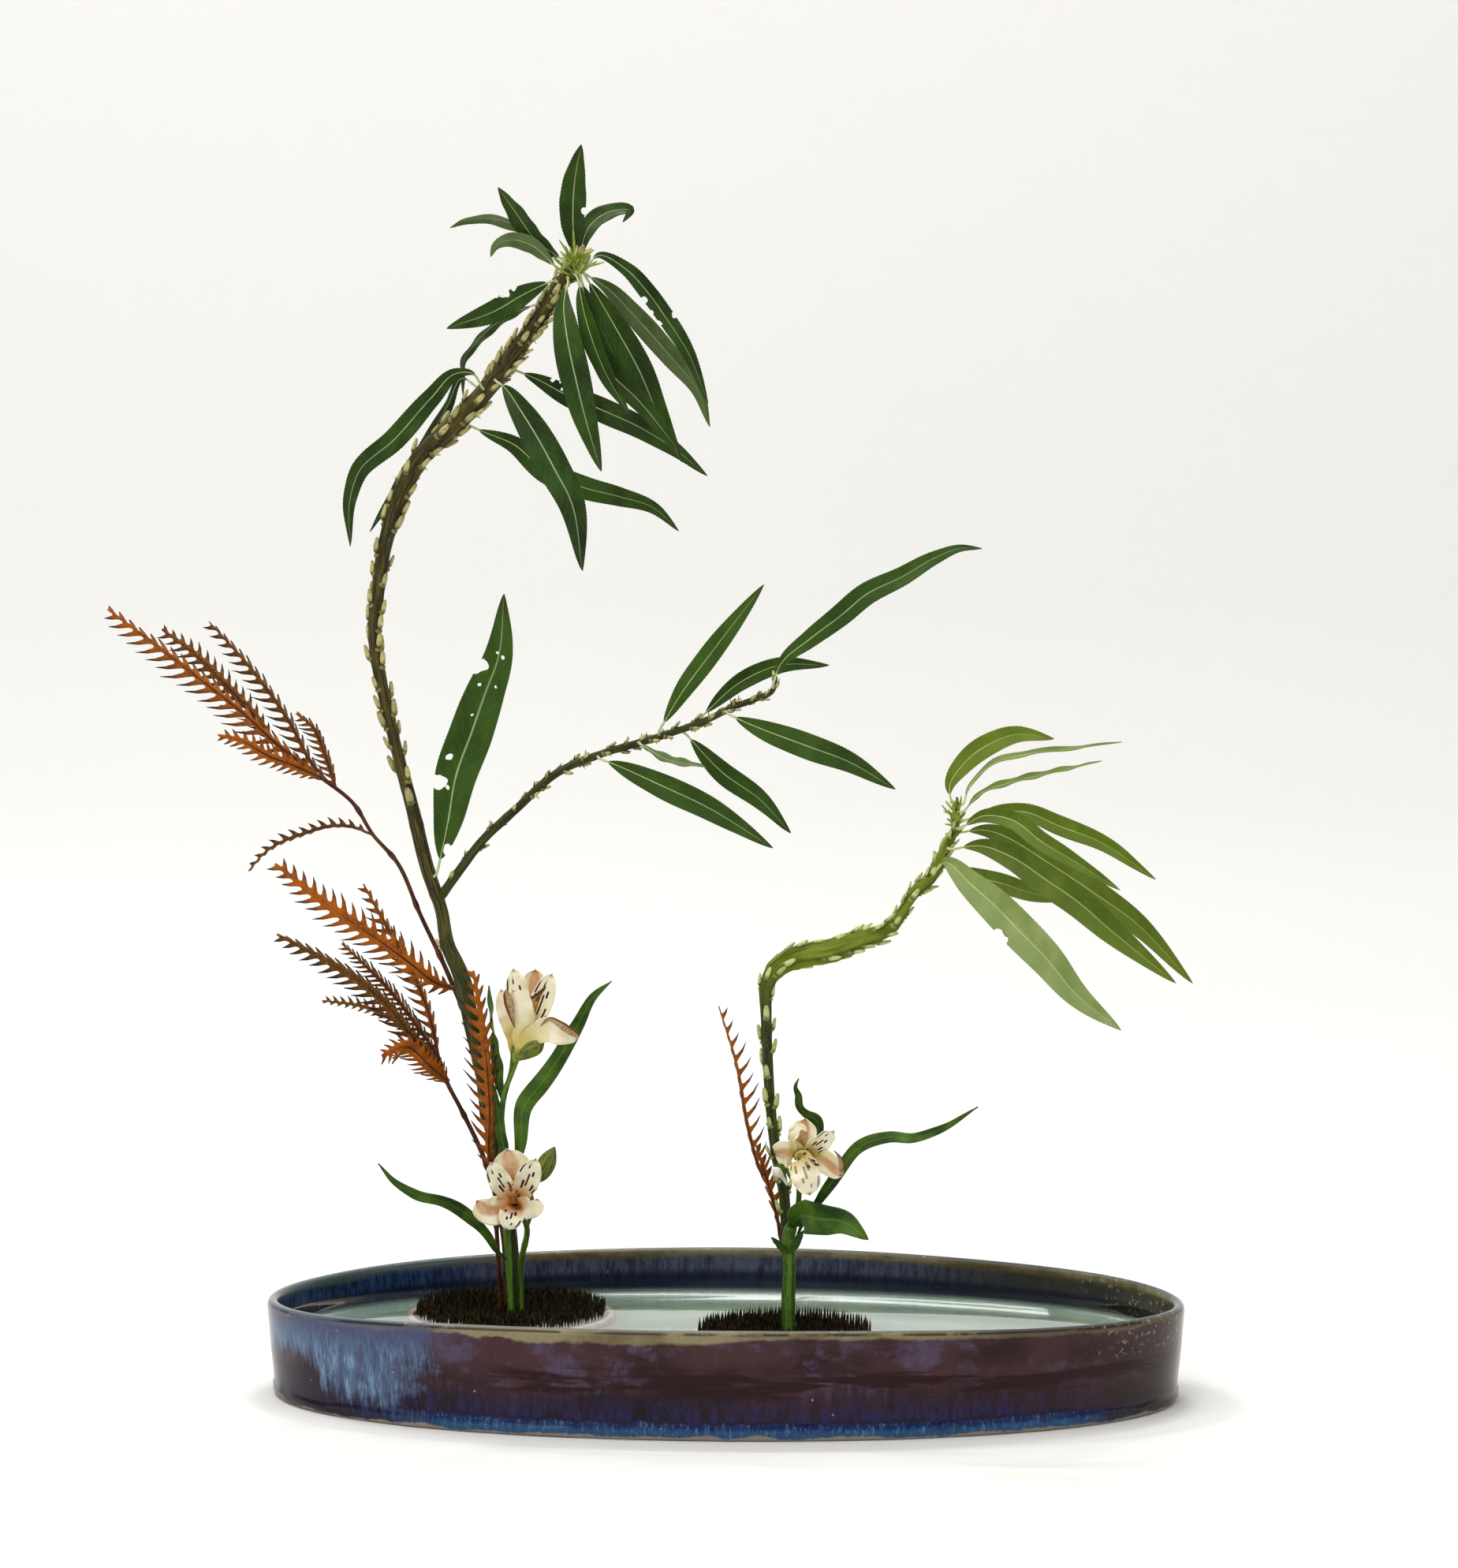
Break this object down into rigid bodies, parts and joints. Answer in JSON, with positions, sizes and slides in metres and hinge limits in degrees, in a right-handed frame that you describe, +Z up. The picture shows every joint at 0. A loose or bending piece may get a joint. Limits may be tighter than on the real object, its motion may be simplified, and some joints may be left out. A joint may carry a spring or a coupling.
{
  "type": "ikebana arrangement",
  "caption": "Ikebana arrangement: bent willow branches, toothed rust-brown sprays and cream alstroemeria on pin holders in an oval stoneware water bowl.",
  "frame": {"origin": "middle of the bowl's flat underside", "axes": "+Z up; X along the bowl's long side with the tall branch towards -X; the front faces -Y"},
  "size_m": [0.5939, 0.265, 0.6831],
  "materials": {
    "stoneware_glaze": "glazed stoneware, glossy blue-purple",
    "pin_metal": "darkened metal",
    "ring_rubber": "matte beige",
    "willow_bark": "olive-green bark",
    "willow_leaf": "dark green leaf",
    "young_willow_leaf": "bright green leaf",
    "rust_foliage": "rust-brown dry foliage",
    "flower_stem": "fresh green stem",
    "strap_leaf": "green strap leaf",
    "tepal_cream": "soft cream petal"
  },
  "bodies": {
    "root": {"bowl": "stoneware_glaze", "fork_leaf": "willow_leaf", "front_spray": "rust_foliage", "kenzan_left": "pin_metal", "kenzan_right": "pin_metal", "kenzan_ring_left": "ring_rubber", "kenzan_ring_right": "ring_rubber", "left_crown_leaf_1": "willow_leaf", "left_crown_leaf_10": "willow_leaf", "left_crown_leaf_11": "willow_leaf", "left_crown_leaf_12": "willow_leaf", "left_crown_leaf_13": "willow_leaf", "left_crown_leaf_14": "willow_leaf", "left_crown_leaf_2": "willow_leaf", "left_crown_leaf_3": "willow_leaf", "left_crown_leaf_4": "willow_leaf", "left_crown_leaf_5": "willow_leaf", "left_crown_leaf_6": "willow_leaf", "left_crown_leaf_7": "willow_leaf", "left_crown_leaf_8": "willow_leaf", "left_crown_leaf_9": "willow_leaf", "left_stem_leaf_1": "willow_leaf", "left_stem_leaf_2": "willow_leaf", "left_stem_leaf_3": "willow_leaf", "left_stem_leaf_4": "willow_leaf", "left_stem_leaf_5": "willow_leaf", "low_flower": "tepal_cream", "low_flower_leaf": "strap_leaf", "low_flower_stem": "flower_stem", "right_crown_leaf_1": "young_willow_leaf", "right_crown_leaf_2": "young_willow_leaf", "right_crown_leaf_3": "young_willow_leaf", "right_crown_leaf_4": "young_willow_leaf", "right_crown_leaf_5": "young_willow_leaf", "right_crown_leaf_6": "young_willow_leaf", "right_crown_leaf_7": "young_willow_leaf", "right_crown_leaf_8": "young_willow_leaf", "right_crown_leaf_9": "young_willow_leaf", "right_flower": "tepal_cream", "right_flower_leaf_broad": "strap_leaf", "right_flower_leaf_curled": "strap_leaf", "right_flower_leaf_long": "strap_leaf", "right_flower_stem": "flower_stem", "right_spray": "rust_foliage", "short_spray": "rust_foliage", "side_shoot_leaf_1": "willow_leaf", "side_shoot_leaf_2": "willow_leaf", "side_shoot_leaf_3": "willow_leaf", "side_shoot_leaf_4": "willow_leaf", "side_shoot_leaf_5": "willow_leaf", "side_shoot_leaf_6": "willow_leaf", "side_shoot_leaf_7": "willow_leaf", "tall_flower": "tepal_cream", "tall_flower_leaf_left": "strap_leaf", "tall_flower_leaf_right": "strap_leaf", "tall_flower_stem": "flower_stem", "tall_spray": "rust_foliage", "willow_branch_left": "willow_bark", "willow_branch_right": "willow_bark"}
  },
  "joints": []
}
